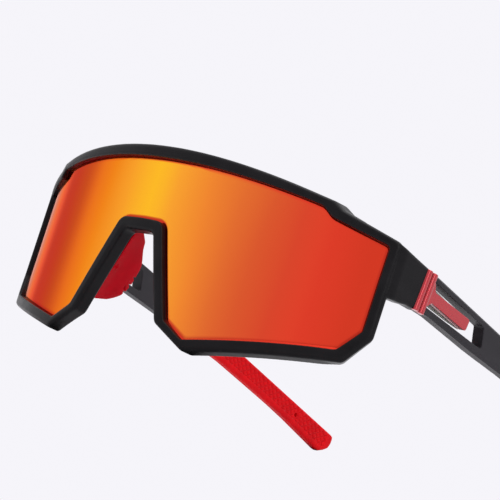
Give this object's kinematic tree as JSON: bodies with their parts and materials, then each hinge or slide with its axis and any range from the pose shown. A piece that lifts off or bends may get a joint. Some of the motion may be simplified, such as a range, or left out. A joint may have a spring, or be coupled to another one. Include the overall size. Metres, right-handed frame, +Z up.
{
  "type": "wraparound sport sunglasses",
  "caption": "Sport sunglasses with one curved mirror-coated shield lens in a full rim, folding temples with slotted arms and knurled rubber tips, and a soft nose piece.",
  "frame": {"origin": "middle of the object's box, on the surface it stands on", "axes": "+X to the wearer's left, +Y towards the back of the head, along the open temples, +Z up"},
  "size_m": [0.1414, 0.1724, 0.0557],
  "materials": {
    "frame": "matte black",
    "lens": "gloss, mirror-coated, from yellow in the middle to red at the sides",
    "nose_rubber": "matte red silicone",
    "tip_rubber": "matte red, knurled",
    "temple": "matte black",
    "red_metal": "gloss metallic red",
    "hinge_steel": "satin"
  },
  "bodies": {
    "front": {"front_frame": "frame", "shield_lens": "lens", "nose_pad": "nose_rubber", "end_band_left": "red_metal", "end_band_right": "red_metal", "front_leaf_left": "hinge_steel", "front_leaf_right": "hinge_steel", "front_leaf_screws_left": "hinge_steel", "front_leaf_screws_right": "hinge_steel", "hinge_screw_left": "hinge_steel", "hinge_screw_right": "hinge_steel"},
    "temple_left": {"temple_arm_left": "temple", "temple_leaf_left": "hinge_steel", "temple_trim_left": "red_metal", "trim_screws_left": "hinge_steel", "temple_tip_left": "tip_rubber"},
    "temple_right": {"temple_arm_right": "temple", "temple_leaf_right": "hinge_steel", "temple_trim_right": "red_metal", "trim_screws_right": "hinge_steel", "temple_tip_right": "tip_rubber"}
  },
  "joints": [
    {"name": "fold_left", "type": "hinge", "parent": "front", "child": "temple_left", "pos_m": [0.0643, -0.04249, 0.0337], "axis": [0, 0.1311, 0.9914], "range_deg": [0, 94]},
    {"name": "fold_right", "type": "hinge", "parent": "front", "child": "temple_right", "pos_m": [-0.0643, -0.04249, 0.0337], "axis": [0, -0.1311, -0.9914], "range_deg": [0, 88]}
  ]
}
